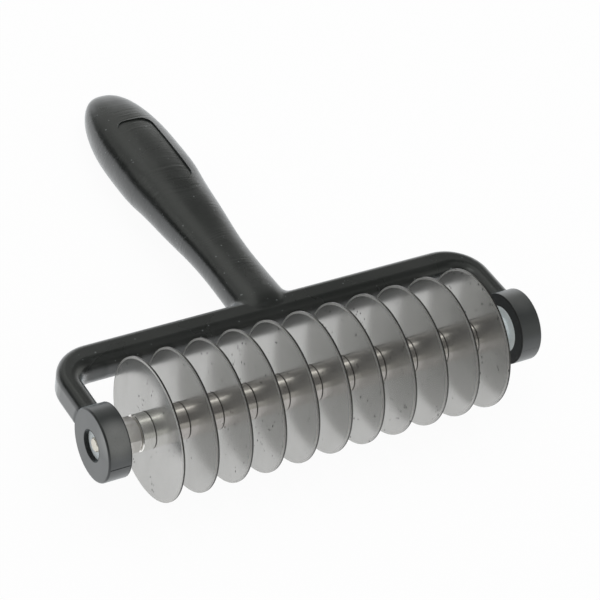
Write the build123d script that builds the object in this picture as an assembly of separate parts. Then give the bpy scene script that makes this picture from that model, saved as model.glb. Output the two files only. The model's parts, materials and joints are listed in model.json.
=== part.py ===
from build123d import *
import os
from math import copysign, cos, degrees, pi, sin, sqrt

# Dough strip cutter: discs clamped in a row on one axle, which turns in two bushes held by a moulded
# yoke with a grip. Millimetres. The pieces are modelled about the axle's middle, X along the axle, Y
# towards the grip and Z up, and are then set down as the tool rests: discs and grip on the table.

# Cutting row
disc_count = 11
disc_diameter = 60.0
disc_thickness = 1.0
disc_edge_thickness = 0.7
disc_bevel_width = 0.9
strip_width = 14.25
spacer_diameter = 15.5
end_collar_length = 5.6
turned_edge_break = 0.3

# Axle and its nuts
axle_diameter = 8.0
journal_step = 1.0
journal_end_break = 0.4
nut_across_flats = 13.0
nut_height = 6.5
nut_corner_break = 1.5
nut_break_height = 0.75
nut_turn = 21.0

# Fits
row_clearance = 0.05
running_clearance = 0.05
end_play = 0.95
row_drift = 0.45

# Bushes, and the bosses around them
bush_diameter = 20.5
bush_nose_diameter = 12.0
bush_nose_length = 2.0
boss_wall = 5.25
boss_width = 10.2
boss_outer_rim_radius = 0.8
boss_inner_rim_radius = 0.5
window_shoulder = 3.75
window_lip = 2.0

# Yoke frame: a rounded U with its crossbar behind the discs
yoke_rise = 3.2
frame_thickness = 13.2
frame_outer_radius = 3.5
frame_inner_radius = 4.7
frame_side_flat = 0.2
arm_setback = 0.5
disc_to_crossbar = 4.1
crossbar_width = 13.2
corner_inner_radius = 7.0
corner_outer_radius = 18.5

# Grip: its section at the foot, neck and palm, the distances between them, and how its ends round off
grip_foot_width = 25.0
grip_foot_thickness = 16.5
grip_foot_rounding = 12.0
grip_root_radius = 4.5
crossbar_to_neck = 30.3
neck_width = 24.0
neck_thickness = 15.8
neck_to_palm = 81.0
palm_width = 35.4
palm_thickness = 23.4
palm_to_end = 47.0
grip_end_rise = 2.2
grip_tip_width = 2.6
grip_squareness = 2.5
grip_end_fullness = 2.3

# Bare label panel sunk into the grip's upper face
panel_before_palm = 4.0
panel_length = 45.0
panel_width = 17.4
panel_end_flat = 7.4
panel_off_centre = 1.1
panel_depth = 0.6

# How finely the grip is drawn and the tool is settled on the table
section_points = 12
foot_stations = (0.8, 0.5, 0.0)
swell_stations = 4
end_stations = 6
settling_steps = 6

# Places along the axle, from its middle outwards
pitch = strip_width + disc_thickness
row_half_length = (disc_count - 1) / 2 * pitch + disc_thickness / 2
nut_inner_x = row_half_length + end_collar_length
nut_outer_x = nut_inner_x + nut_height
bush_nose_x = nut_outer_x + end_play
boss_inner_x = bush_nose_x + bush_nose_length
boss_outer_x = boss_inner_x + boss_width
bush_outer_x = boss_outer_x - window_lip
arm_inner_x = boss_inner_x + arm_setback

# Places from the axle towards the grip's end
disc_radius = disc_diameter / 2
crossbar_front = disc_radius + disc_to_crossbar
crossbar_middle = crossbar_front + crossbar_width / 2
crossbar_back = crossbar_front + crossbar_width
foot_full = crossbar_middle + grip_foot_rounding / 2
neck_reach = crossbar_middle + crossbar_to_neck
palm_reach = neck_reach + neck_to_palm

# Sizes that follow from the ones above
row_bore_radius = axle_diameter / 2 + row_clearance
journal_radius = axle_diameter / 2 - journal_step
boss_radius = bush_diameter / 2 + boss_wall
window_radius = bush_diameter / 2 - window_shoulder
frame_wall = min(boss_outer_x - arm_inner_x, crossbar_width, frame_thickness)
frame_largest_radius = (frame_wall - frame_side_flat) / 2


def turned(profile):
    """Solid turned about the axle from points (along the axle, radius)."""
    return revolve(make_face(Polyline(*profile, close=True)), axis=Axis.X)


def cutting_disc():
    """Thin disc with a bore and a rim bevelled on both faces to a narrow flat edge."""
    flat = disc_radius - disc_bevel_width
    face = disc_thickness / 2
    edge = disc_edge_thickness / 2
    half = [(edge, disc_radius), (face, flat), (face, row_bore_radius)]
    mirrored = [(-x, radius) for x, radius in reversed(half)]
    return turned(mirrored + half)


def sleeve(length):
    """Turned sleeve on the axle, its outer edges broken; it keeps two neighbours apart."""
    outer = spacer_diameter / 2
    end = length / 2
    half = [(end - turned_edge_break, outer), (end, outer - turned_edge_break), (end, row_bore_radius)]
    mirrored = [(-x, radius) for x, radius in reversed(half)]
    return turned(mirrored + half)


def clamp_nut():
    """Hexagon nut with its corners turned off at both faces, its flats turned about the axle."""
    corner = nut_across_flats / sqrt(3)
    end = nut_height / 2
    half = [(end - nut_break_height, corner), (end, corner - nut_corner_break), (end, row_bore_radius)]
    mirrored = [(-x, radius) for x, radius in reversed(half)]
    hexagon = RegularPolygon(nut_across_flats / 2, 6, major_radius=False, rotation=-nut_turn)
    return turned(mirrored + half) & extrude(Plane.YZ * hexagon, amount=end, both=True)


def axle_shaft():
    """Straight axle with a slimmer journal turned at each end."""
    end = bush_outer_x + journal_end_break
    half = [
        (nut_outer_x, axle_diameter / 2),
        (nut_outer_x, journal_radius),
        (bush_outer_x, journal_radius),
        (end, journal_radius - journal_end_break),
        (end, 0),
    ]
    mirrored = [(-x, radius) for x, radius in reversed(half)]
    return turned(mirrored + half)


def bush():
    """Right-hand bush: a plug that fills the boss pocket, with a nose that faces the nut."""
    bore = journal_radius + running_clearance
    outer = bush_diameter / 2
    nose = bush_nose_diameter / 2
    return turned(
        [
            (bush_nose_x, bore),
            (bush_nose_x, nose),
            (boss_inner_x, nose),
            (boss_inner_x, outer),
            (bush_outer_x, outer),
            (bush_outer_x, bore),
        ]
    )


def boss():
    """Right-hand boss with rounded rims, before its pocket and window are cut."""
    upright = (Align.CENTER, Align.CENTER, Align.MIN)
    blank = Plane.YZ.offset(boss_inner_x) * Cylinder(boss_radius, boss_width, align=upright)
    blank = fillet(blank.edges().filter_by(GeomType.CIRCLE).sort_by(Axis.X)[-1], boss_outer_rim_radius)
    return fillet(blank.edges().filter_by(GeomType.CIRCLE).sort_by(Axis.X)[0], boss_inner_rim_radius)


def boss_cut():
    """Bush pocket from the inner face and the window through the outer lip, right-hand side."""
    pocket = bush_diameter / 2
    past = boss_outer_x + window_lip
    return turned(
        [
            (boss_inner_x, 0),
            (boss_inner_x, pocket),
            (bush_outer_x, pocket),
            (bush_outer_x, window_radius),
            (past, window_radius),
            (past, 0),
        ]
    )


def frame():
    """U of crossbar and arms, rounded along all its long edges; the arm ends lie inside the bosses."""
    outer = Pos(0, crossbar_back / 2) * Rectangle(2 * boss_outer_x, crossbar_back)
    inner = Pos(0, crossbar_front / 2) * Rectangle(2 * arm_inner_x, crossbar_front)
    outer = fillet(outer.vertices().group_by(Axis.Y)[-1], corner_outer_radius)
    inner = fillet(inner.vertices().group_by(Axis.Y)[-1], corner_inner_radius)
    plate = extrude(Pos(0, 0, yoke_rise) * (outer - inner), amount=frame_thickness / 2, both=True)
    for radius, outside in ((frame_outer_radius, True), (frame_inner_radius, False)):
        arm_ends = plate.faces().sort_by(Axis.Y)[:2].edges()
        long_edges = []
        for edge in plate.edges().filter_by(Plane.XY):
            middle = Vector((edge @ 0.5).X, (edge @ 0.5).Y, 0)
            nearer_outside = outer.wire().distance_to(middle) < inner.wire().distance_to(middle)
            if nearer_outside == outside and edge not in arm_ends:
                long_edges.append(edge)
        plate = fillet(long_edges, min(radius, frame_largest_radius))
    return plate


def grip_size(reach, foot, neck, palm):
    """Width or thickness of the grip at a distance from the axle, from its foot to its round end."""
    if reach >= palm_reach:
        past = (reach - palm_reach) / palm_to_end
        return palm * (1 - past**grip_end_fullness) ** (1 / grip_end_fullness)
    if reach >= neck_reach:
        share = (reach - neck_reach) / neck_to_palm
        start, stop = neck, palm
    else:
        share = max(0.0, reach - crossbar_middle) / crossbar_to_neck
        start, stop = foot, neck
    return start + (stop - start) * (1 - cos(pi * share)) / 2


def grip_halves(reach):
    """Half the width and thickness of the grip at a distance from the axle, and its rise there."""
    half_width = grip_size(reach, grip_foot_width, neck_width, palm_width) / 2
    half_height = grip_size(reach, grip_foot_thickness, neck_thickness, palm_thickness) / 2
    rise = grip_end_rise * (max(0.0, reach - palm_reach) / palm_to_end) ** 2
    return half_width, half_height, rise


def across_grip(reach, height):
    """Plane across the grip, its own Y up, at a distance from the axle and a height above it."""
    return Plane(origin=(0, reach, height), x_dir=(1, 0, 0), z_dir=(0, -1, 0))


def grip_section(reach):
    """Rounded-square oval across the grip; its height tapers at the foot."""
    half_width, half_height, rise = grip_halves(reach)
    short_of_full = max(0.0, foot_full - reach) / grip_foot_rounding
    half_height *= sqrt(1 - short_of_full**2)
    power = 2 / grip_squareness
    points = []
    for index in range(section_points):
        angle = 2 * pi * index / section_points - pi / 2
        across = copysign(abs(cos(angle)) ** power, cos(angle))
        upward = copysign(abs(sin(angle)) ** power, sin(angle))
        points.append((half_width * across, half_height * upward))
    return across_grip(reach, yoke_rise + rise) * make_face(Spline(*points, periodic=True))


def grip_body():
    """Grip lofted from inside the crossbar to the small flat at its round end."""
    foot = [foot_full - share * grip_foot_rounding for share in foot_stations]
    foot.append((foot_full + neck_reach) / 2)
    swell = [neck_reach + neck_to_palm * step / swell_stations for step in range(swell_stations)]
    tip = grip_tip_width / palm_width
    last_share = (1 - tip**grip_end_fullness) ** (1 / grip_end_fullness)
    turns = [pi / 2 * step / end_stations for step in range(end_stations + 1)]
    round_end = [palm_reach + palm_to_end * last_share * sin(turn) for turn in turns]
    return loft([grip_section(reach) for reach in foot + swell + round_end])


def grip_crown(reach, across):
    """Height of the grip's upper face above the axle, some way to the side of its middle."""
    half_width, half_height, rise = grip_halves(reach)
    share = 1 - (across / half_width) ** grip_squareness
    return yoke_rise + rise + half_height * share ** (1 / grip_squareness)


def label_panel():
    """Shallow panel whose floor follows the grip's crown, to be cut from its upper face."""
    middle = palm_reach - panel_before_palm
    sides = [panel_off_centre + share * panel_width for share in (-0.5, 0, 0.5)]
    sections = []
    for reach in (middle - panel_length / 2, middle, middle + panel_length / 2):
        left, crest, right = [(side, grip_crown(reach, abs(side)) - panel_depth) for side in sides]
        top = crest[1] + palm_thickness
        walls = Polyline(right, (right[0], top), (left[0], top), left)
        sections.append(across_grip(reach, 0) * make_face([ThreePointArc(left, crest, right), walls]))
    outline = RectangleRounded(panel_width, panel_length, (panel_width - panel_end_flat) / 2)
    return extrude(Pos(panel_off_centre, middle) * outline, amount=2 * palm_thickness) & loft(sections)


def yoke_handle():
    """One moulding: grip, crossbar, arms and the two bosses."""
    body = frame() + grip_body()
    curved = body.edges().filter_by(GeomType.BSPLINE)
    root = [edge for edge in curved if edge.bounding_box().max.Y < crossbar_back + grip_root_radius]
    body = fillet(root, grip_root_radius) - label_panel()
    bosses = boss()
    cuts = boss_cut()
    body += bosses + mirror(bosses, about=Plane.YZ)
    return body - cuts - mirror(cuts, about=Plane.YZ)


def rest_tilt(moulding):
    """Degrees that the tool turns about its axle until the grip touches the table under the discs."""
    tilt = 0.0
    for _ in range(settling_steps):
        lowest = (Rot(X=-tilt) * moulding).bounding_box().min.Z
        tilt += degrees((lowest + disc_radius) / palm_reach)
    return tilt


def main():
    """Build every piece about the axle, set the tool down and write one file for each piece."""
    yoke = yoke_handle()
    tilted = Rot(X=-rest_tilt(yoke))
    back = (tilted * yoke).bounding_box().max.Y
    rest = Pos(0, (disc_radius - back) / 2, disc_radius) * tilted

    row = {"axle_shaft": axle_shaft()}
    disc = cutting_disc()
    for index in range(disc_count):
        row[f"cutting_disc_{index + 1:02d}"] = Pos((index - (disc_count - 1) / 2) * pitch) * disc
    spacer = sleeve(strip_width)
    for index in range(disc_count - 1):
        row[f"spacer_{index + 1:02d}"] = Pos((index - (disc_count - 2) / 2) * pitch) * spacer
    collar = Pos(row_half_length + end_collar_length / 2) * sleeve(end_collar_length)
    nut = Pos(nut_inner_x + nut_height / 2) * clamp_nut()
    for name, piece in {"end_collar": collar, "clamp_nut": nut}.items():
        row[f"right_{name}"] = piece
        row[f"left_{name}"] = mirror(piece, about=Plane.YZ)

    right_bush = bush()
    left_bush = mirror(right_bush, about=Plane.YZ)
    pieces = {"yoke_handle": yoke, "right_bush": right_bush, "left_bush": left_bush}
    pieces |= {name: Pos(-row_drift) * piece for name, piece in row.items()}
    os.makedirs("parts", exist_ok=True)
    for name, piece in pieces.items():
        export_step(rest * piece, f"parts/{name}.step")


main()
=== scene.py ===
"""Looks of a dough strip cutter: a row of steel discs on an axle, in a black moulded yoke with a grip.

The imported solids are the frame. Each sub-assembly dresses its solids with finishes of its own and adds the
fine trim that belongs to it. The studio sets the floor, the light, the cloths for the gloss and the camera.
"""

import json
import logging
import math
from dataclasses import dataclass, field
from enum import Enum

import bpy
from mathutils import Euler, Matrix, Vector


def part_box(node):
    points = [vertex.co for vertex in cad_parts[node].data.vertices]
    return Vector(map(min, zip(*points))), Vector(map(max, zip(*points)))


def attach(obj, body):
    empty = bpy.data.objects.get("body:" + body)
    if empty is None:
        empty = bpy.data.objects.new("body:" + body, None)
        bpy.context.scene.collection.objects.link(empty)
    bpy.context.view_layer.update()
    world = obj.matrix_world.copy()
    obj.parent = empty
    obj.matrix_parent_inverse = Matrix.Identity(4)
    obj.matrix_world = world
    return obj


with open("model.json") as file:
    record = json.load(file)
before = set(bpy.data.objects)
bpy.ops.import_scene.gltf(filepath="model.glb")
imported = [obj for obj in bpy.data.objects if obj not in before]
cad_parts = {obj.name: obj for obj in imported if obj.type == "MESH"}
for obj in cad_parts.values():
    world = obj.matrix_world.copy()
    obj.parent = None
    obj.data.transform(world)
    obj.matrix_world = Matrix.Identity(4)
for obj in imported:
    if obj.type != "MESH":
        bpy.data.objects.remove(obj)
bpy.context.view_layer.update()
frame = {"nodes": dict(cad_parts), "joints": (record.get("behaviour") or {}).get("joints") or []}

log = logging.getLogger("strip_cutter")

Colour = tuple[float, float, float]
Place = tuple[float, float, float]
Span = tuple[float, float]
Material = bpy.types.Material
Node = bpy.types.Node
Socket = bpy.types.NodeSocket
Tree = bpy.types.NodeTree

MM = 0.001
NODE_STEP = 190
RISE: Span = (0.0, 1.0)
FALL: Span = (1.0, 0.0)
WHITE = (1.0, 1.0, 1.0, 1.0)
SIDES = ("left", "right")

SEAM_INPUTS: dict[str, str] = {
    "Length": "NodeSocketFloat",
    "Width": "NodeSocketFloat",
    "First place": "NodeSocketVector",
    "Last place": "NodeSocketVector",
}


class Body(Enum):
    """Bodies of the tool that the added pieces ride on."""

    HANDLE = "handle"


class Slot(Enum):
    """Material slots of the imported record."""

    PLASTIC = "handle_plastic"


class MixSocket(Enum):
    """Numbers of a Mix node's colour sockets, because some of its other sockets have the same names."""

    FIRST = 6
    SECOND = 7
    RESULT = 2


@dataclass
class NodeBoard:
    """Node tree that is filled from left to right.

    Args:
        tree: The tree that receives the nodes.
        column: How many nodes have been placed, which sets where the next one goes.
    """

    tree: Tree
    column: int = 0

    def add(
        self, kind: str, inputs: dict[str | int, object] | None = None, **settings: object
    ) -> Node:
        """Place one node.

        Args:
            kind: Node type, such as ShaderNodeTexNoise.
            inputs: For each input, by name or number, a value or the socket that feeds it.
            settings: Properties of the node.

        Returns:
            The new node.
        """
        node = self.tree.nodes.new(kind)
        node.location = (self.column * NODE_STEP, 0)
        self.column += 1
        for name, value in settings.items():
            setattr(node, name, value)
        for name, value in (inputs or {}).items():
            self.fill(node.inputs[name], value)
        return node

    def fill(self, socket: Socket, value: object) -> None:
        """Feed a socket from another one, or give it a value of its own.

        Args:
            socket: The socket.
            value: A value, or the socket that feeds it.
        """
        if isinstance(value, Socket):
            self.tree.links.new(value, socket)
        else:
            socket.default_value = value

    def group(self, tree: Tree, place: Socket, values: dict[str, object]) -> bpy.types.bpy_prop_collection:
        """Place a shared effect.

        Args:
            tree: The effect's node group.
            place: Socket with the place on the surface.
            values: The effect's own values, or the sockets that feed them, by input name.

        Returns:
            The effect's output sockets by name.
        """
        return self.add("ShaderNodeGroup", {"Place": place, **values}, node_tree=tree).outputs

    def parts(self, place: Socket) -> bpy.types.bpy_prop_collection:
        """Split a place into sockets named X, Y and Z."""
        return self.add("ShaderNodeSeparateXYZ", {0: place}).outputs

    def math(
        self, operation: str, first: object, second: object = 0.0, third: object = 0.0
    ) -> Socket:
        """Place a math node and give its result.

        Args:
            operation: What the node does, such as MULTIPLY.
            first: First value or socket.
            second: Second value or socket.
            third: Third value or socket.

        Returns:
            The socket that carries the result.
        """
        node = self.add("ShaderNodeMath", {0: first, 1: second, 2: third}, operation=operation)
        return node.outputs[0]

    def both(self, first: Socket, second: Socket) -> Socket:
        """Give the product of two masks."""
        return self.math("MULTIPLY", first, second)

    def inverse(self, mask: Socket) -> Socket:
        """Give 1 where a mask is 0, and 0 where it is 1."""
        return self.math("SUBTRACT", 1.0, mask)

    def ramp(self, value: Socket, source: Span, target: Span = RISE) -> Socket:
        """Map a value smoothly from one range to another.

        Args:
            value: Socket that carries the value.
            source: Values at which the result starts and stops changing.
            target: Results at those two values.

        Returns:
            The socket that carries the result.
        """
        inputs = {
            "Value": value,
            "From Min": source[0],
            "From Max": source[1],
            "To Min": target[0],
            "To Max": target[1],
        }
        return self.add("ShaderNodeMapRange", inputs, interpolation_type="SMOOTHSTEP").outputs["Result"]

    def tint(self, factor: Socket, first: object, second: object) -> Socket:
        """Mix two colours.

        Args:
            factor: Socket that carries the share of the second colour.
            first: Colour, or the socket that carries it, where the factor is 0.
            second: Colour, or the socket that carries it, where the factor is 1.

        Returns:
            The socket that carries the mixed colour.
        """
        node = self.add("ShaderNodeMix", {"Factor": factor}, data_type="RGBA")
        for number, colour in ((MixSocket.FIRST, first), (MixSocket.SECOND, second)):
            paint = colour if isinstance(colour, Socket) else (*colour, 1.0)
            self.fill(node.inputs[number.value], paint)
        return node.outputs[MixSocket.RESULT.value]

    def relief(self, height: Socket, strength: float, depth: float, **under: Socket) -> Socket:
        """Turn a height into a normal.

        Args:
            height: Socket that carries the height from 0 to 1.
            strength: Share of the relief that shows.
            depth: Depth of the relief in metres.
            under: Socket named Normal with the normal that it lies over, if there is one.

        Returns:
            The socket that carries the normal.
        """
        inputs = {"Strength": strength, "Distance": depth, "Height": height, **under}
        return self.add("ShaderNodeBump", inputs).outputs[0]


def blank_board(owner: Material | bpy.types.World) -> NodeBoard:
    """Turn on the nodes of a material or world and empty its tree.

    Args:
        owner: The material or world.

    Returns:
        Board for the emptied tree.
    """
    owner.use_nodes = True
    owner.node_tree.nodes.clear()
    return NodeBoard(owner.node_tree)


@dataclass
class GroupSheet:
    """Shader node group under construction, with named inputs and outputs.

    Args:
        name: Name of the group.
        inputs: Each input's name with its default: a number, or None for a place on the surface.
        outputs: Names of the values that the group puts out.
    """

    name: str
    inputs: dict[str, float | None]
    outputs: tuple[str, ...]
    board: NodeBoard = field(init=False)
    given: Node = field(init=False)
    result: Node = field(init=False)

    def __post_init__(self) -> None:
        """Make the tree, its sockets and its two end nodes."""
        tree = bpy.data.node_groups.new(self.name, "ShaderNodeTree")
        for name, value in self.inputs.items():
            kind = "NodeSocketVector" if value is None else "NodeSocketFloat"
            socket = tree.interface.new_socket(name=name, in_out="INPUT", socket_type=kind)
            if value is not None:
                socket.default_value = value
        for name in self.outputs:
            tree.interface.new_socket(name=name, in_out="OUTPUT", socket_type="NodeSocketFloat")
        self.board = NodeBoard(tree)
        self.given = self.board.add("NodeGroupInput")
        self.result = tree.nodes.new("NodeGroupOutput")

    def put_out(self, name: str, socket: Socket) -> None:
        """Send a value to one of the group's outputs."""
        self.board.tree.links.new(socket, self.result.inputs[name])
        self.result.location = (self.board.column * NODE_STEP, 0)


@dataclass
class SurfaceGroups:
    """Effects that several finishes share, each built once as a shader node group.

    Args:
        speck_fade: Share of a speck's radius over which its mask comes up.
        drift_contrast: Noise values between which the drift goes from 0 to 1.
        sway_scale: Scale of the noise that bends the streaks.
        sway_reach: How far that noise moves a streak.
        patch_scale: Scale of the noise that gathers the streaks in patches.
        patch_contrast: Noise values between which a patch comes up.
        patch_heights: Height of the streaks outside and inside a patch.
    """

    speck_fade: float = 0.5
    drift_contrast: Span = (0.3, 0.7)
    sway_scale: float = 40.0
    sway_reach: float = 12.0 * MM
    patch_scale: float = 55.0
    patch_contrast: Span = (0.42, 0.62)
    patch_heights: Span = (0.15, 1.0)
    specks: Tree = field(init=False)
    grain: Tree = field(init=False)
    turning: Tree = field(init=False)
    streaks: Tree = field(init=False)

    def __post_init__(self) -> None:
        """Build the groups."""
        self.specks = self.build_specks()
        self.grain = self.build_grain()
        self.turning = self.build_turning()
        self.streaks = self.build_streaks()

    def build_specks(self) -> Tree:
        """Build scattered specks, such as dust on plastic or pits in steel.

        Returns:
            Group with the mask of the specks, 1 inside one.
        """
        inputs = {"Place": None, "Spacing": 3.0 * MM, "Size": 0.2, "Share": 0.3}
        sheet = GroupSheet("scattered_specks", inputs, ("Mask",))
        board, given = sheet.board, sheet.given.outputs
        scaled = {0: given["Place"], "Scale": board.math("DIVIDE", 1.0, given["Spacing"])}
        cells = board.add("ShaderNodeVectorMath", scaled, operation="SCALE").outputs[0]
        dots = board.add("ShaderNodeTexVoronoi", {"Vector": cells, "Scale": 1.0, "Randomness": 1.0}).outputs
        luck = board.add("ShaderNodeSeparateColor", {0: dots["Color"]}).outputs
        reach = board.math("MULTIPLY", given["Size"], luck[1])
        inside = board.inverse(board.math("DIVIDE", dots["Distance"], reach))
        soft = board.ramp(inside, (0.0, self.speck_fade))
        chosen = board.math("LESS_THAN", luck[0], given["Share"])
        sheet.put_out("Mask", board.both(soft, chosen))
        return board.tree

    def build_grain(self) -> Tree:
        """Build the fine grain of a moulded or rolled surface with its slow drift in tone.

        Returns:
            Group with the grain's height and the drift, both from 0 to 1.
        """
        inputs = {"Place": None, "Grain size": 0.4 * MM, "Drift size": 30.0 * MM}
        sheet = GroupSheet("surface_grain", inputs, ("Height", "Drift"))
        board, given = sheet.board, sheet.given.outputs
        place = given["Place"]
        fine = board.math("DIVIDE", 1.0, given["Grain size"])
        slow = board.math("DIVIDE", 1.0, given["Drift size"])
        inputs = {"Vector": place, "Scale": fine, "Detail": 2.0, "Roughness": 0.6}
        sheet.put_out("Height", board.add("ShaderNodeTexNoise", inputs).outputs[0])
        inputs = {"Vector": place, "Scale": slow, "Detail": 4.0, "Roughness": 0.55, "Distortion": 0.4}
        drift = board.add("ShaderNodeTexNoise", inputs).outputs[0]
        sheet.put_out("Drift", board.ramp(drift, self.drift_contrast))
        return board.tree

    def build_turning(self) -> Tree:
        """Build the rings that a lathe leaves, round the axle on a side and round the centre on a face.

        Returns:
            Group with the rings' height from 0 to 1 and the distance from the axle in metres.
        """
        inputs = {"Place": None, "Ring size": 0.2 * MM}
        sheet = GroupSheet("turning_marks", inputs, ("Height", "Radius"))
        board, given = sheet.board, sheet.given.outputs
        parts = board.parts(given["Place"])
        flat = board.add("ShaderNodeCombineXYZ", {"Y": parts["Y"], "Z": parts["Z"]}).outputs[0]
        radius = board.add("ShaderNodeVectorMath", {0: flat}, operation="LENGTH").outputs["Value"]
        run = board.math("DIVIDE", board.math("ADD", parts["X"], radius), given["Ring size"])
        inputs = {"W": run, "Scale": 1.0, "Detail": 3.0, "Roughness": 0.7}
        sheet.put_out("Height", board.add("ShaderNodeTexNoise", inputs, noise_dimensions="1D").outputs[0])
        sheet.put_out("Radius", radius)
        return board.tree

    def build_streaks(self) -> Tree:
        """Build the fine cross streaks that a milled mould leaves, in patches along the moulding.

        Returns:
            Group with the streaks' height from 0 to 1.
        """
        inputs = {"Place": None, "Spacing": 1.0 * MM}
        sheet = GroupSheet("mould_streaks", inputs, ("Height",))
        board, given = sheet.board, sheet.given.outputs
        inputs = {"Vector": given["Place"], "Scale": self.sway_scale, "Detail": 1.0}
        sway = board.add("ShaderNodeTexNoise", inputs).outputs[0]
        along = board.parts(given["Place"])["Y"]
        bent = board.math("MULTIPLY_ADD", sway, self.sway_reach, along)
        inputs = {"W": board.math("DIVIDE", bent, given["Spacing"]), "Scale": 1.0, "Detail": 1.0}
        lines = board.add("ShaderNodeTexNoise", inputs, noise_dimensions="1D").outputs[0]
        inputs = {"Vector": given["Place"], "Scale": self.patch_scale, "Detail": 2.0}
        patches = board.add("ShaderNodeTexNoise", inputs).outputs[0]
        patches = board.ramp(patches, self.patch_contrast, self.patch_heights)
        sheet.put_out("Height", board.math("MULTIPLY", lines, patches))
        return board.tree


class Finish:
    """Start of every finish: a material with a principled shader and the place on the surface."""

    name: str

    def start(self, centre: Vector) -> tuple[Material, NodeBoard, Socket, Node]:
        """Make the material.

        Args:
            centre: Point, in metres, that the surface patterns are centred on.

        Returns:
            The material, its node board, the socket with the place on the surface, and the shader node.
        """
        material = bpy.data.materials.new(self.name)
        board = blank_board(material)
        place = board.add("ShaderNodeTexCoord").outputs["Object"]
        place = board.add("ShaderNodeMapping", {"Vector": place, "Location": -centre}).outputs[0]
        shader = board.add("ShaderNodeBsdfPrincipled")
        board.add("ShaderNodeOutputMaterial", {"Surface": shader.outputs[0]})
        return material, board, place, shader

    @staticmethod
    def feed(board: NodeBoard, shader: Node, **sockets: Socket) -> None:
        """Link sockets to the shader's inputs, each named with underscores for spaces."""
        for name, socket in sockets.items():
            board.fill(shader.inputs[name.replace("_", " ").title()], socket)


@dataclass(frozen=True)
class BossZones:
    """Masks of the bosses.

    Args:
        outside: Socket that carries 1 on a boss's side and outer face.
        inside: Socket that carries 1 on its inner face and in its window.
        rim: Socket that carries 1 on the upper part of the rim round its outer face.
    """

    outside: Socket
    inside: Socket
    rim: Socket


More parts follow.
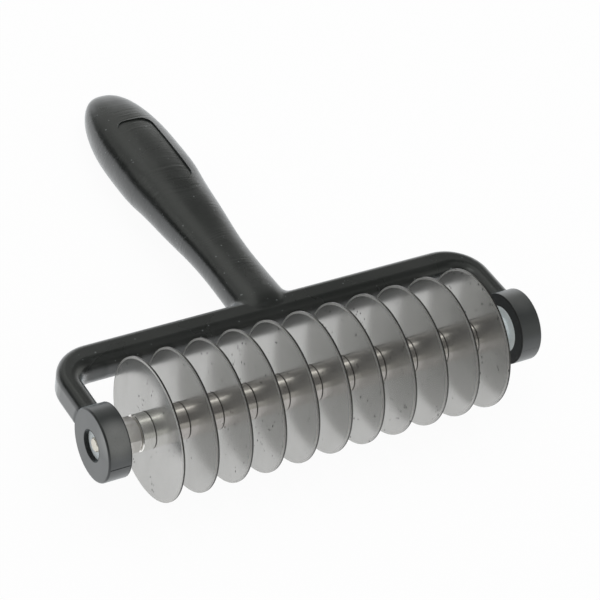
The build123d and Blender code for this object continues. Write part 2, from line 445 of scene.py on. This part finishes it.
@dataclass(frozen=True)
class MouldedPlastic(Finish):
    """Black satin plastic with dust and mould streaks. Outside on the bosses it is greyer, partly a matt
    finish and partly painted light. Inside them it is matt with painted shade, and they have painted dark
    upper rims and painted light patches on their sides. Low on the crossbar's front it has painted reflected
    light.
    """

    groups: SurfaceGroups
    name: str = "moulded_black_plastic"
    dark: Colour = (0.0075, 0.0088, 0.0076)
    pale: Colour = (0.0105, 0.0120, 0.0106)
    matt_and_painted_light: Colour = (0.028, 0.0305, 0.03)
    painted_shade: Colour = (0.009, 0.0095, 0.009)
    painted_light_patch: Colour = (0.16, 0.163, 0.156)
    painted_reflection: Colour = (0.16, 0.166, 0.168)
    dust: Colour = (0.13, 0.14, 0.14)
    dust_spacing: float = 1.7 * MM
    dust_size: float = 0.3
    dust_share: float = 0.2
    roughness: Span = (0.26, 0.33)
    boss_roughening: float = 0.06
    inside_roughening: float = 0.55
    left_light_patch: Place = (-97.0 * MM, -9.5 * MM, 12.3 * MM)
    right_light_patch: Place = (97.0 * MM, 3.0 * MM, 15.2 * MM)
    light_patch_reach: Span = (3.0 * MM, 11.0 * MM)
    light_patch_shares: Span = (1.0, 0.3)
    breakup_contrast: Span = (0.2, 0.5)
    breakup_shares: Span = (0.7, 1.0)
    bar_front: Span = (31.0 * MM, 32.5 * MM)
    bar_back: Span = (37.0 * MM, 40.0 * MM)
    bar_rise: Span = (-2.0 * MM, 3.0 * MM)
    boss_reach: Span = (15.6 * MM, 17.0 * MM)
    window_reach: Span = (6.6 * MM, 7.1 * MM)
    inner_face: Span = (92.1 * MM, 92.6 * MM)
    rim_radius: Span = (14.5 * MM, 15.0 * MM)
    rim_along: Span = (101.0 * MM, 101.5 * MM)
    rim_rise: Span = (-9.0 * MM, -2.0 * MM)
    relief_share: float = 0.6
    grain_size: float = 0.5 * MM
    grain_height: float = 0.01 * MM
    streak_spacing: float = 1.4 * MM
    streak_height: float = 0.22 * MM
    grip_start: Span = (54.0 * MM, 62.0 * MM)
    index_of_refraction: float = 1.64
    skin: Span = (0.75, 0.4)
    skin_roughness: float = 0.29
    gloss_tint: Colour = (0.92, 0.97, 1.0)
    haze: float = 0.55
    haze_tint: Colour = (0.84, 0.95, 1.0)
    haze_roughness: float = 0.3

    def material(self, centre: Vector) -> Material:
        """Build the material.

        Args:
            centre: Point on the axle that the bosses, crossbar and grip are measured from.

        Returns:
            The finished material.
        """
        material, board, place, shader = self.start(centre)
        grain = board.group(self.groups.grain, place, {"Grain size": self.grain_size})
        zones = self.boss_zones(board, place)
        colour = self.mixed_colour(board, place, grain, zones)
        roughness = board.ramp(grain["Drift"], RISE, self.roughness)
        roughness = board.math("MULTIPLY_ADD", zones.outside, self.boss_roughening, roughness)
        roughness = board.math("MULTIPLY_ADD", zones.inside, self.inside_roughening, roughness)
        bare = board.math("MAXIMUM", zones.inside, zones.rim)
        skin = board.both(board.ramp(zones.outside, RISE, self.skin), board.inverse(bare))
        normal = self.streaked_normal(board, place, grain)
        self.feed(board, shader, base_color=colour, roughness=roughness, coat_weight=skin, normal=normal)
        shader.inputs["IOR"].default_value = self.index_of_refraction
        shader.inputs["Specular Tint"].default_value = (*self.gloss_tint, 1.0)
        shader.inputs["Coat Roughness"].default_value = self.skin_roughness
        shader.inputs["Sheen Weight"].default_value = self.haze
        shader.inputs["Sheen Tint"].default_value = (*self.haze_tint, 1.0)
        shader.inputs["Sheen Roughness"].default_value = self.haze_roughness
        return material

    def mixed_colour(
        self, board: NodeBoard, place: Socket, grain: bpy.types.bpy_prop_collection, zones: BossZones
    ) -> Socket:
        """Mix the colour: black with slow drift, bosses greyer with painted light outside and painted shade
        inside, painted light patches, painted reflected light on the crossbar, painted dark rims and dust.

        Args:
            board: The material's node board.
            place: Socket with the place on the surface.
            grain: Output sockets of the grain.
            zones: Masks of the bosses.

        Returns:
            Socket that carries the colour.
        """
        colour = board.tint(grain["Drift"], self.dark, self.pale)
        # Outside on the bosses: a greyer colour, partly a matt finish and partly painted light.
        colour = board.tint(zones.outside, colour, self.matt_and_painted_light)
        # Inner faces and windows of the bosses: painted shade.
        colour = board.tint(zones.inside, colour, self.painted_shade)
        # The grain breaks up the painted light patches and the painted reflected light on the crossbar.
        grain_breakup = board.ramp(grain["Height"], self.breakup_contrast, self.breakup_shares)
        # Lighter patches on the bosses' sides: painted light.
        for middle, share in zip((self.left_light_patch, self.right_light_patch), self.light_patch_shares):
            away = board.add("ShaderNodeVectorMath", {0: place, 1: middle}, operation="DISTANCE")
            light_patch = board.ramp(away.outputs["Value"], self.light_patch_reach, (share, 0.0))
            colour = board.tint(board.both(board.both(light_patch, zones.outside), grain_breakup), colour, self.painted_light_patch)
        # Low on the crossbar's front: painted reflection of the floor's light.
        colour = board.tint(board.both(self.reflection_zone(board, place), grain_breakup), colour, self.painted_reflection)
        # Upper rims of the bosses' outer faces: painted dark reflection.
        colour = board.tint(zones.rim, colour, self.painted_shade)
        specks = {"Spacing": self.dust_spacing, "Size": self.dust_size, "Share": self.dust_share}
        dust = board.group(self.groups.specks, place, specks)["Mask"]
        open_skin = board.inverse(board.math("MAXIMUM", zones.outside, zones.inside))
        return board.tint(board.both(dust, open_skin), colour, self.dust)

    def streaked_normal(
        self, board: NodeBoard, place: Socket, grain: bpy.types.bpy_prop_collection
    ) -> Socket:
        """Lay the grain on the surface, and the mould's streaks over it on the grip alone.

        Args:
            board: The material's node board.
            place: Socket with the place on the surface.
            grain: Output sockets of the grain.

        Returns:
            Socket that carries the normal.
        """
        fine = board.relief(grain["Height"], self.relief_share, self.grain_height)
        streaks = board.group(self.groups.streaks, place, {"Spacing": self.streak_spacing})["Height"]
        on_grip = board.ramp(board.parts(place)["Y"], self.grip_start)
        return board.relief(board.both(streaks, on_grip), self.relief_share, self.streak_height, Normal=fine)

    def reflection_zone(self, board: NodeBoard, place: Socket) -> Socket:
        """Mark the lower front of the crossbar, which faces the discs. Painted light there stands in for the
        floor's light that it reflects.

        Args:
            board: The material's node board.
            place: Socket with the place on the surface.

        Returns:
            Socket that carries 1 low on the crossbar's front and 0 elsewhere.
        """
        parts = board.parts(place)
        ahead = board.ramp(parts["Y"], self.bar_front)
        behind = board.ramp(parts["Y"], self.bar_back, FALL)
        low = board.ramp(parts["Z"], self.bar_rise, FALL)
        return board.both(board.both(ahead, behind), low)

    def boss_zones(self, board: NodeBoard, place: Socket) -> BossZones:
        """Mark the outside, inside and rims of the bosses.

        Args:
            board: The material's node board.
            place: Socket with the place on the surface.

        Returns:
            The masks.
        """
        radius = board.group(self.groups.turning, place, {})["Radius"]
        parts = board.parts(place)
        along = board.math("ABSOLUTE", parts["X"])
        beyond_window = board.ramp(radius, self.window_reach)
        on_boss = board.both(board.ramp(radius, self.boss_reach, FALL), beyond_window)
        outward = board.ramp(along, self.inner_face)
        outside = board.both(on_boss, outward)
        inner_face = board.both(on_boss, board.inverse(outward))
        inside = board.math("MAXIMUM", inner_face, board.inverse(beyond_window))
        # The upper rim's mask carries a painted dark reflection along each boss's outer rim.
        edge = board.both(board.ramp(radius, self.rim_radius), board.ramp(along, self.rim_along))
        upper_edge = board.both(edge, board.ramp(parts["Z"], self.rim_rise))
        return BossZones(outside, inside, board.both(upper_edge, outside))


@dataclass(frozen=True)
class DiscSteel(Finish):
    """Satin rolled stainless with dark pits, slow clouding, a ground bevel and a near-black cut edge, partly
    its dull cut and partly painted shade.
    """

    groups: SurfaceGroups
    name: str = "disc_stainless"
    bright: Colour = (0.535, 0.536, 0.524)
    clouded: Colour = (0.5, 0.501, 0.489)
    ground: Colour = (0.62, 0.62, 0.607)
    pit: Colour = (0.05, 0.05, 0.048)
    cut: Colour = (0.07, 0.07, 0.068)
    grime: Colour = (0.3, 0.295, 0.285)
    metal_share: float = 0.75
    face_roughness: Span = (0.17, 0.21)
    bevel_roughness: float = 0.5
    cut_roughness: float = 0.26
    joint_radius: Span = (7.75 * MM, 7.95 * MM)
    bevel_start: float = 29.1 * MM
    cut_start: float = 29.96 * MM
    cloud_size: float = 14.0 * MM
    cluster_size: float = 7.0 * MM
    cluster_contrast: Span = (0.55, 0.95)
    cluster_shares: Span = (0.03, 0.55)
    pit_spacing: float = 1.15 * MM
    pit_size: float = 0.44
    pit_squeeze: tuple[float, float, float] = (1.0, 1.0, 0.55)
    pit_shift: Place = (37.0 * MM, 11.0 * MM, 23.0 * MM)
    ring_share: float = 0.15
    ring_height: float = 0.01 * MM

    def material(self, centre: Vector) -> Material:
        """Build the material.

        Args:
            centre: Point on the axle that the rim is measured from.

        Returns:
            The finished material.
        """
        material, board, place, shader = self.start(centre)
        turning = board.group(self.groups.turning, place, {})
        drawn = {0: place, 1: self.pit_squeeze, 2: self.pit_shift}
        drawn = board.add("ShaderNodeVectorMath", drawn, operation="MULTIPLY_ADD").outputs[0]
        drift = board.group(self.groups.grain, drawn, {"Drift size": self.cloud_size})["Drift"]
        edge = board.math("GREATER_THAN", turning["Radius"], self.cut_start)
        bevel = board.math("GREATER_THAN", turning["Radius"], self.bevel_start)
        colour = board.tint(drift, self.bright, self.clouded)
        colour = board.tint(bevel, colour, self.ground)
        colour = board.tint(self.pits(board, drawn), colour, self.pit)
        # The near-black cut edge is partly the dull cut and partly painted shade, drawing the dark line
        # round each disc.
        colour = board.tint(edge, colour, self.cut)
        colour = board.tint(board.ramp(turning["Radius"], self.joint_radius, FALL), colour, self.grime)
        face = board.ramp(drift, RISE, self.face_roughness)
        ground = board.math("MULTIPLY_ADD", bevel, self.bevel_roughness - self.face_roughness[0], face)
        roughness = board.math("MULTIPLY_ADD", edge, self.cut_roughness - self.bevel_roughness, ground)
        normal = board.relief(turning["Height"], self.ring_share, self.ring_height)
        self.feed(board, shader, base_color=colour, roughness=roughness, normal=normal)
        shader.inputs["Metallic"].default_value = self.metal_share
        return material

    def pits(self, board: NodeBoard, drawn: Socket) -> Socket:
        """Scatter the pits in clusters.

        Args:
            board: The material's node board.
            drawn: Socket with the place on the surface, squeezed so that the pits come out drawn.

        Returns:
            Socket that carries 1 inside a pit.
        """
        patches = board.group(self.groups.grain, drawn, {"Drift size": self.cluster_size})["Drift"]
        clusters = board.ramp(patches, self.cluster_contrast, self.cluster_shares)
        specks = {"Spacing": self.pit_spacing, "Size": self.pit_size, "Share": clusters}
        return board.group(self.groups.specks, drawn, specks)["Mask"]


@dataclass(frozen=True)
class TurnedSteel(Finish):
    """Satin steel with the fine rings of a lathe, and a line of grime where it meets a disc."""

    groups: SurfaceGroups
    name: str
    bright: Colour = (0.91, 0.87, 0.85)
    dull: Colour = (0.79, 0.755, 0.735)
    roughness: Span = (0.09, 0.12)
    metal_share: float = 0.94
    cloud_size: float = 6.0 * MM
    ring_size: float = 0.25 * MM
    ring_contrast: Span = (0.3, 0.7)
    ring_share: float = 0.5
    ring_height: float = 0.00006 * MM
    grime: Colour = (0.36, 0.35, 0.335)
    disc_pitch: float = 15.25 * MM
    joint_reach: Span = (0.6 * MM, 0.74 * MM)

    def material(self, centre: Vector) -> Material:
        """Build the material.

        Args:
            centre: Point on the axle that the rings are centred on.

        Returns:
            The finished material.
        """
        material, board, place, shader = self.start(centre)
        rings = board.group(self.groups.turning, place, {"Ring size": self.ring_size})["Height"]
        drift = board.group(self.groups.grain, place, {"Drift size": self.cloud_size})["Drift"]
        colour = board.tint(drift, self.bright, self.dull)
        from_disc = board.math("PINGPONG", board.parts(place)["X"], self.disc_pitch / 2)
        colour = board.tint(board.ramp(from_disc, self.joint_reach, FALL), colour, self.grime)
        roughness = board.ramp(rings, self.ring_contrast, self.roughness)
        normal = board.relief(rings, self.ring_share, self.ring_height)
        self.feed(board, shader, base_color=colour, roughness=roughness, normal=normal)
        shader.inputs["Metallic"].default_value = self.metal_share
        return material


@dataclass(frozen=True)
class PlatedSteel(Finish):
    """Bright plated steel with slow clouding, fine pits and no turning rings, as on a nut's flats."""

    groups: SurfaceGroups
    name: str = "nut_plated_steel"
    bright: Colour = (0.86, 0.845, 0.82)
    dull: Colour = (0.72, 0.70, 0.67)
    pit: Colour = (0.2, 0.19, 0.18)
    roughness: Span = (0.16, 0.22)
    metal_share: float = 0.7
    cloud_size: float = 4.0 * MM
    pit_spacing: float = 1.4 * MM
    pit_size: float = 0.2
    pit_share: float = 0.08
    grain_size: float = 0.3 * MM
    grain_share: float = 0.05
    grain_height: float = 0.01 * MM

    def material(self, centre: Vector) -> Material:
        """Build the material.

        Args:
            centre: Point that the patterns are centred on.

        Returns:
            The finished material.
        """
        material, board, place, shader = self.start(centre)
        sizes = {"Grain size": self.grain_size, "Drift size": self.cloud_size}
        grain = board.group(self.groups.grain, place, sizes)
        specks = {"Spacing": self.pit_spacing, "Size": self.pit_size, "Share": self.pit_share}
        pits = board.group(self.groups.specks, place, specks)["Mask"]
        colour = board.tint(grain["Drift"], self.bright, self.dull)
        colour = board.tint(pits, colour, self.pit)
        roughness = board.ramp(grain["Drift"], RISE, self.roughness)
        normal = board.relief(grain["Height"], self.grain_share, self.grain_height)
        self.feed(board, shader, base_color=colour, roughness=roughness, normal=normal)
        shader.inputs["Metallic"].default_value = self.metal_share
        return material


@dataclass(frozen=True)
class PaleNylon(Finish):
    """Pale bluish nylon, slightly waxy, with fine turning rings on its faces."""

    groups: SurfaceGroups
    name: str = "bush_nylon_pale"
    light: Colour = (0.86, 0.92, 0.93)
    shade: Colour = (0.78, 0.85, 0.87)
    roughness: Span = (0.38, 0.5)
    cloud_size: float = 5.0 * MM
    ring_size: float = 0.4 * MM
    ring_contrast: Span = (0.3, 0.7)
    ring_share: float = 0.4
    ring_height: float = 0.01 * MM

    def material(self, centre: Vector) -> Material:
        """Build the material.

        Args:
            centre: Point on the axle that the rings are centred on.

        Returns:
            The finished material.
        """
        material, board, place, shader = self.start(centre)
        rings = board.group(self.groups.turning, place, {"Ring size": self.ring_size})["Height"]
        drift = board.group(self.groups.grain, place, {"Drift size": self.cloud_size})["Drift"]
        colour = board.tint(drift, self.light, self.shade)
        roughness = board.ramp(rings, self.ring_contrast, self.roughness)
        normal = board.relief(rings, self.ring_share, self.ring_height)
        self.feed(board, shader, base_color=colour, roughness=roughness, normal=normal)
        return material


def grow(name: str, tree: Tree, values: dict[str, object]) -> bpy.types.Object:
    """Run a Geometry Nodes tree and keep its result as a plain mesh.

    Args:
        name: Name of the piece.
        tree: The tree.
        values: The tree's inputs by name.

    Returns:
        The piece's object, at the origin, without a modifier.
    """
    seed = bpy.data.objects.new(name + "_seed", bpy.data.meshes.new(name + "_seed"))
    bpy.context.scene.collection.objects.link(seed)
    modifier = seed.modifiers.new("shape", "NODES")
    modifier.node_group = tree
    for socket in tree.interface.items_tree:
        if socket.in_out == "INPUT":
            modifier[socket.identifier] = values[socket.name]
    evaluated = seed.evaluated_get(bpy.context.evaluated_depsgraph_get())
    mesh = bpy.data.meshes.new_from_object(evaluated)
    mesh.name = name
    bpy.data.objects.remove(seed)
    piece = bpy.data.objects.new(name, mesh)
    bpy.context.scene.collection.objects.link(piece)
    log.info("built %s with %d faces", name, len(mesh.polygons))
    return piece


def dress(node: str, material: Material) -> None:
    """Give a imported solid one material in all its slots.

    Args:
        node: Name of the solid.
        material: The material.
    """
    shape = frame["nodes"][node]
    for slot in shape.material_slots:
        slot.material = material
    log.info("dressed %s with %s", node, material.name)


@dataclass
class CuttingRow:
    """Discs, the sleeves between them and the collars outside the end discs.

    Args:
        axle: Point on the axle, in metres.
        groups: Shared surface effects.
        disc_count: How many discs the row has.
    """

    axle: Vector
    groups: SurfaceGroups
    disc_count: int = 11

    def middle(self) -> Vector:
        """Give the point on the axle in the middle disc, which the row's patterns are centred on."""
        low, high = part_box(f"cutting_disc_{(self.disc_count + 1) // 2:02d}")
        return Vector(((low[0] + high[0]) / 2, self.axle.y, self.axle.z))

    def build(self) -> None:
        """Dress the discs, sleeves and collars."""
        middle = self.middle()
        disc_steel = DiscSteel(self.groups).material(middle)
        for number in range(1, self.disc_count + 1):
            dress(f"cutting_disc_{number:02d}", disc_steel)
        sleeve_steel = TurnedSteel(self.groups, "sleeve_steel").material(middle)
        for number in range(1, self.disc_count):
            dress(f"spacer_{number:02d}", sleeve_steel)
        collar = TurnedSteel(
            self.groups,
            "collar_steel",
            bright=(0.96, 0.955, 0.93),
            dull=(0.88, 0.875, 0.85),
            roughness=(0.18, 0.21),
            metal_share=0.88,
        )
        collar_steel = collar.material(middle)
        for side in SIDES:
            dress(f"{side}_end_collar", collar_steel)


@dataclass
class AxleSet:
    """Axle with the clamp nuts on it and the bushes that it turns in.

    Args:
        axle: Point on the axle, in metres.
        groups: Shared surface effects.
    """

    axle: Vector
    groups: SurfaceGroups

    def build(self) -> None:
        """Dress the axle, nuts and bushes."""
        shaft = TurnedSteel(
            self.groups,
            "axle_turned_steel",
            bright=(0.80, 0.775, 0.70),
            dull=(0.68, 0.65, 0.575),
            roughness=(0.3, 0.4),
        )
        nut_steel = PlatedSteel(self.groups).material(self.axle)
        bush_nylon = PaleNylon(self.groups).material(self.axle)
        dress("axle_shaft", shaft.material(self.axle))
        for side in SIDES:
            dress(f"{side}_clamp_nut", nut_steel)
            dress(f"{side}_bush", bush_nylon)


@dataclass
class MouldedYoke:
    """Yoke and grip, one black moulding, with the mould's parting seam across the front of each boss.

    Args:
        axle: Point on the axle, in metres.
        groups: Shared surface effects.
        boss_radius: Radius of the bosses.
        boss_middle: Distance of a boss's middle from the tool's middle plane.
        seam_length: Length of a seam along the axle.
        seam_width: Width of the bead that the seam leaves.
        seam_angle: Degrees from the top of the boss towards the front at which the seam lies.
        seam_points: How many points a seam has along it, and round it.
        seam_painted_shade: Colour of the seams, a little darker than the bosses' grey: painted shade along
            the parting step.
        worn_depth: How much deeper the right boss's seam lies, where it is worn nearly flush.
    """

    axle: Vector
    groups: SurfaceGroups
    boss_radius: float = 15.5 * MM
    boss_middle: float = 96.9 * MM
    seam_length: float = 8.6 * MM
    seam_width: float = 0.4 * MM
    seam_angle: float = 84.5
    seam_points: int = 12
    seam_painted_shade: Colour = (0.02, 0.021, 0.0205)
    worn_depth: float = 0.15 * MM

    def build(self) -> None:
        """Dress the moulding and lay its seams."""
        dress("yoke_handle", MouldedPlastic(self.groups).material(self.axle))
        # The seams' colour is a little darker than the bosses' grey: painted shade along the parting step.
        plain = MouldedPlastic(self.groups, name="seam_black_plastic", matt_and_painted_light=self.seam_painted_shade)
        self.lay_seams(plain.material(self.axle))

    def seam_tree(self, material: Material) -> Tree:
        """Build the node tree that sweeps one seam and sets it on both bosses.

        Args:
            material: Finish of the seams.

        Returns:
            Tree with the seams' length and width and their first and last place as inputs.
        """
        tree = bpy.data.node_groups.new("boss_seams", "GeometryNodeTree")
        for name, kind in SEAM_INPUTS.items():
            tree.interface.new_socket(name=name, in_out="INPUT", socket_type=kind)
        tree.interface.new_socket(name="Seams", in_out="OUTPUT", socket_type="NodeSocketGeometry")
        board = NodeBoard(tree)
        given = board.add("NodeGroupInput").outputs
        half = board.math("MULTIPLY", given["Length"], 0.5)
        start = board.add("ShaderNodeCombineXYZ", {"X": board.math("MULTIPLY", half, -1.0)}).outputs[0]
        stop = board.add("ShaderNodeCombineXYZ", {"X": half}).outputs[0]
        path = board.add("GeometryNodeCurvePrimitiveLine", {"Start": start, "End": stop}).outputs[0]
        path = board.add("GeometryNodeResampleCurve", {"Curve": path, "Count": self.seam_points}).outputs[0]
        ring = {"Resolution": self.seam_points, "Radius": board.math("MULTIPLY", given["Width"], 0.5)}
        bead = board.add("GeometryNodeCurvePrimitiveCircle", ring).outputs[0]
        swept = {"Curve": path, "Profile Curve": bead, "Fill Caps": True}
        seam = board.add("GeometryNodeCurveToMesh", swept).outputs[0]
        ends = {"Count": 2, "Start Location": given["First place"], "Offset": given["Last place"]}
        spots = board.add("GeometryNodeMeshLine", ends, mode="END_POINTS").outputs[0]
        laid = board.add("GeometryNodeInstanceOnPoints", {"Points": spots, "Instance": seam}).outputs[0]
        laid = board.add("GeometryNodeRealizeInstances", {0: laid}).outputs[0]
        laid = board.add("GeometryNodeSetMaterial", {"Geometry": laid, "Material": material}).outputs[0]
        board.add("NodeGroupOutput", {0: laid})
        return tree

    def lay_seams(self, material: Material) -> None:
        """Lay the seams on both bosses as one piece of the handle.

        Args:
            material: Finish of the seams.
        """
        angle = math.radians(self.seam_angle)
        outward = Vector((0.0, -math.sin(angle), math.cos(angle)))
        aside = Vector((self.boss_middle, 0.0, 0.0))
        values = {
            "Length": self.seam_length,
            "Width": self.seam_width,
            "First place": self.axle - aside + outward * self.boss_radius,
            "Last place": self.axle + aside + outward * (self.boss_radius - self.worn_depth),
        }
        seams = grow("boss_parting_seams", self.seam_tree(material), values)
        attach(seams, Body.HANDLE.value)


@dataclass(frozen=True)
class Cloth:
    """Cloth hung round the set, a patch of a ball round the object that only the gloss shows.

    Args:
        name: Name of the cloth.
        bearing: First and last bearing in degrees, from straight behind the tool towards its right.
        rise: Lowest and highest angle above the floor in degrees.
        tone: How bright the cloth looks, where 1 is white.
        distance: How far from the tool it hangs, in metres.
        tint: Colour of the cloth at full tone.
        columns: How many faces it has across.
        rows: How many faces it has up.
    """

    name: str
    bearing: Span
    rise: Span
    tone: float
    distance: float = 4.0
    tint: Colour = (1.0, 1.0, 0.94)
    columns: int = 24
    rows: int = 10

    def point(self, across: float, up: float) -> Place:
        """Give a point of the cloth.

        Args:
            across: Share of the cloth's width.
            up: Share of the cloth's height.

        Returns:
            The point, in metres.
        """
        bearing = math.radians(self.bearing[0] + (self.bearing[1] - self.bearing[0]) * across)
        rise = math.radians(self.rise[0] + (self.rise[1] - self.rise[0]) * up)
        flat = self.distance * math.cos(rise)
        return flat * math.sin(bearing), flat * math.cos(bearing), self.distance * math.sin(rise)

    def hang(self) -> None:
        """Build the cloth as a part of the stage."""
        wide = self.columns + 1
        corners = [
            self.point(column / self.columns, row / self.rows)
            for row in range(self.rows + 1)
            for column in range(wide)
        ]
        faces = [
            (corner, corner + 1, corner + wide + 1, corner + wide)
            for corner in range(self.rows * wide)
            if corner % wide < self.columns
        ]
        mesh = bpy.data.meshes.new(self.name)
        mesh.from_pydata(corners, [], faces)
        material = bpy.data.materials.new(self.name)
        board = blank_board(material)
        glow = board.add("ShaderNodeEmission", {"Color": (*self.tint, 1.0), "Strength": self.tone})
        board.add("ShaderNodeOutputMaterial", {"Surface": glow.outputs[0]})
        mesh.materials.append(material)
        cloth = bpy.data.objects.new(self.name, mesh)
        for ray in ("camera", "diffuse", "shadow", "transmission"):
            setattr(cloth, f"visible_{ray}", False)
        bpy.context.scene.collection.objects.link(cloth)


@dataclass
class Studio:
    """Pale floor, soft light, cloths for the gloss, and the camera at the photograph's viewing angle.

    Args:
        floor_size: Side of the square floor, in metres.
        floor_level: Height of the floor, just under the tool.
        floor_shade: How pale the floor is where it is lit and shaded.
        floor_glow: Share of the floor's look that is plain white, the rest being lit and shaded.
        overhead_place: Where the soft light hangs, in metres.
        overhead_size: Width and depth of the soft light, in metres.
        overhead_power: Power of the soft light, in watts.
        world_light: Strength of the room's own soft light.
        camera_place: Where the camera stands, in metres.
        camera_turn: The camera's turn about X, Y and Z, in degrees.
        camera_range: Nearest and farthest distance that the camera sees, in metres.
        sensor: Width of the camera's sensor, in millimetres.
        lens: Focal length for that sensor, in millimetres.
        cloths: The cloths that the gloss shows.
    """

    floor_size: float = 24.0
    floor_level: float = -0.2 * MM
    floor_shade: float = 0.85
    floor_glow: float = 0.95
    overhead_place: Place = (0.1, 0.25, 1.7)
    overhead_size: Span = (1.9, 1.5)
    overhead_power: float = 14.0
    world_light: float = 0.55
    camera_place: Place = (-0.506471, -0.66856, 0.85195)
    camera_turn: tuple[float, float, float] = (43.7431, -10.8916, -28.6339)
    camera_range: Span = (0.01, 100.0)
    sensor: float = 36.0
    lens: float = 165.595
    cloths: tuple[Cloth, ...] = (
        Cloth("back_wall", (-12.0, 24.0), (12.0, 34.0), 0.4),
        Cloth("back_wall_top", (-12.0, 24.0), (34.0, 66.0), 0.58),
        Cloth("back_left_foot", (-30.0, -12.0), (-6.0, 20.0), 0.2),
        Cloth("back_left_edge", (-30.0, -12.0), (20.0, 66.0), 0.34),
        Cloth("back_left_corner", (-75.0, -30.0), (-6.0, 28.0), 0.02),
        Cloth("back_left_wall", (-75.0, -30.0), (28.0, 66.0), 0.5),
        Cloth("back_left_strip", (-75.0, -32.0), (49.0, 60.0), 1.7, 3.8),
        Cloth("left_wall", (-105.0, -75.0), (-6.0, 66.0), 0.42),
        Cloth("front_left_foot", (-180.0, -105.0), (-6.0, 30.0), 0.65),
        Cloth("front_left_corner", (-142.0, -88.0), (3.0, 30.0), 0.12, 3.8),
        Cloth("front_left_wall", (-180.0, -105.0), (30.0, 66.0), 0.15),
        Cloth("front_right_foot", (120.0, 180.0), (-6.0, 36.0), 0.5),
        Cloth("front_right_wall", (120.0, 180.0), (36.0, 66.0), 0.24),
        Cloth("right_foot", (60.0, 120.0), (-6.0, 30.0), 0.7),
        Cloth("right_wall", (60.0, 120.0), (30.0, 43.0), 0.36),
        Cloth("back_right_foot", (24.0, 60.0), (12.0, 24.0), 0.5),
        Cloth("back_right_wall", (24.0, 60.0), (24.0, 43.0), 0.15),
        Cloth("right_corner", (24.0, 120.0), (43.0, 66.0), 0.06),
        Cloth("ceiling", (-180.0, 180.0), (66.0, 90.0), 0.28),
    )

    def build(self) -> None:
        """Set up the floor, the cloths, the light, the world and the camera."""
        self.lay_floor()
        for cloth in self.cloths:
            cloth.hang()
        self.hang_light()
        self.fill_world()
        self.set_camera()
        bpy.context.scene.view_settings.view_transform = "Standard"

    @staticmethod
    def seen_rays(board: NodeBoard) -> Socket:
        """Give 1 for rays that look at the background straight, by reflection or through glass.

        Args:
            board: Board of the floor's or the world's nodes.

        Returns:
            The socket that carries the mask.
        """
        path = board.add("ShaderNodeLightPath").outputs
        straight = board.math("MAXIMUM", path["Is Camera Ray"], path["Is Glossy Ray"])
        return board.math("MAXIMUM", straight, path["Is Transmission Ray"])

    def lay_floor(self) -> None:
        """Lay the pale floor, which looks white and keeps a faint shadow."""
        half = self.floor_size / 2
        level = self.floor_level
        corners = [(-half, -half, level), (half, -half, level), (half, half, level), (-half, half, level)]
        mesh = bpy.data.meshes.new("floor")
        mesh.from_pydata(corners, [], [(0, 1, 2, 3)])
        floor = bpy.data.objects.new("floor", mesh)
        bpy.context.scene.collection.objects.link(floor)
        material = bpy.data.materials.new("floor_white")
        board = blank_board(material)
        pale = board.add("ShaderNodeBsdfDiffuse", {"Color": (*(self.floor_shade,) * 3, 1.0)})
        white = board.add("ShaderNodeEmission", {"Color": WHITE, "Strength": 1.0})
        share = board.math("MULTIPLY", self.seen_rays(board), self.floor_glow)
        mixed = board.add("ShaderNodeMixShader", {0: share, 1: pale.outputs[0], 2: white.outputs[0]})
        board.add("ShaderNodeOutputMaterial", {"Surface": mixed.outputs[0]})
        mesh.materials.append(material)

    def hang_light(self) -> None:
        """Hang the large soft light overhead, which faces the tool and which the gloss doesn't show."""
        light = bpy.data.lights.new("overhead_soft", "AREA")
        light.shape = "RECTANGLE"
        light.size, light.size_y = self.overhead_size
        light.energy = self.overhead_power
        lamp = bpy.data.objects.new("overhead_soft", light)
        lamp.location = self.overhead_place
        lamp.rotation_euler = (-Vector(self.overhead_place)).to_track_quat("-Z", "Y").to_euler()
        lamp.visible_glossy = False
        bpy.context.scene.collection.objects.link(lamp)

    def fill_world(self) -> None:
        """Fill the room with soft light; its walls look white."""
        world = bpy.data.worlds.new("pale_room")
        board = blank_board(world)
        soft = board.add("ShaderNodeBackground", {"Color": WHITE, "Strength": self.world_light})
        white = board.add("ShaderNodeBackground", {"Color": WHITE, "Strength": 1.0})
        seen = self.seen_rays(board)
        mixed = board.add("ShaderNodeMixShader", {0: seen, 1: soft.outputs[0], 2: white.outputs[0]})
        board.add("ShaderNodeOutputWorld", {"Surface": mixed.outputs[0]})
        bpy.context.scene.world = world

    def set_camera(self) -> None:
        """Set the camera."""
        data = bpy.data.cameras.new("photo_camera")
        data.sensor_width = self.sensor
        data.lens = self.lens
        data.clip_start, data.clip_end = self.camera_range
        camera = bpy.data.objects.new("photo_camera", data)
        camera.location = self.camera_place
        camera.rotation_euler = Euler([math.radians(angle) for angle in self.camera_turn], "XYZ")
        bpy.context.scene.collection.objects.link(camera)
        bpy.context.scene.camera = camera


def main() -> None:
    """Dress every sub-assembly in turn, then set the studio."""
    logging.basicConfig(level=logging.INFO, format="%(name)s: %(message)s")
    axle = Vector(frame["joints"][0]["pos_m"])
    groups = SurfaceGroups()
    CuttingRow(axle, groups).build()
    AxleSet(axle, groups).build()
    MouldedYoke(axle, groups).build()
    Studio().build()


if __name__ == "__main__":
    main()
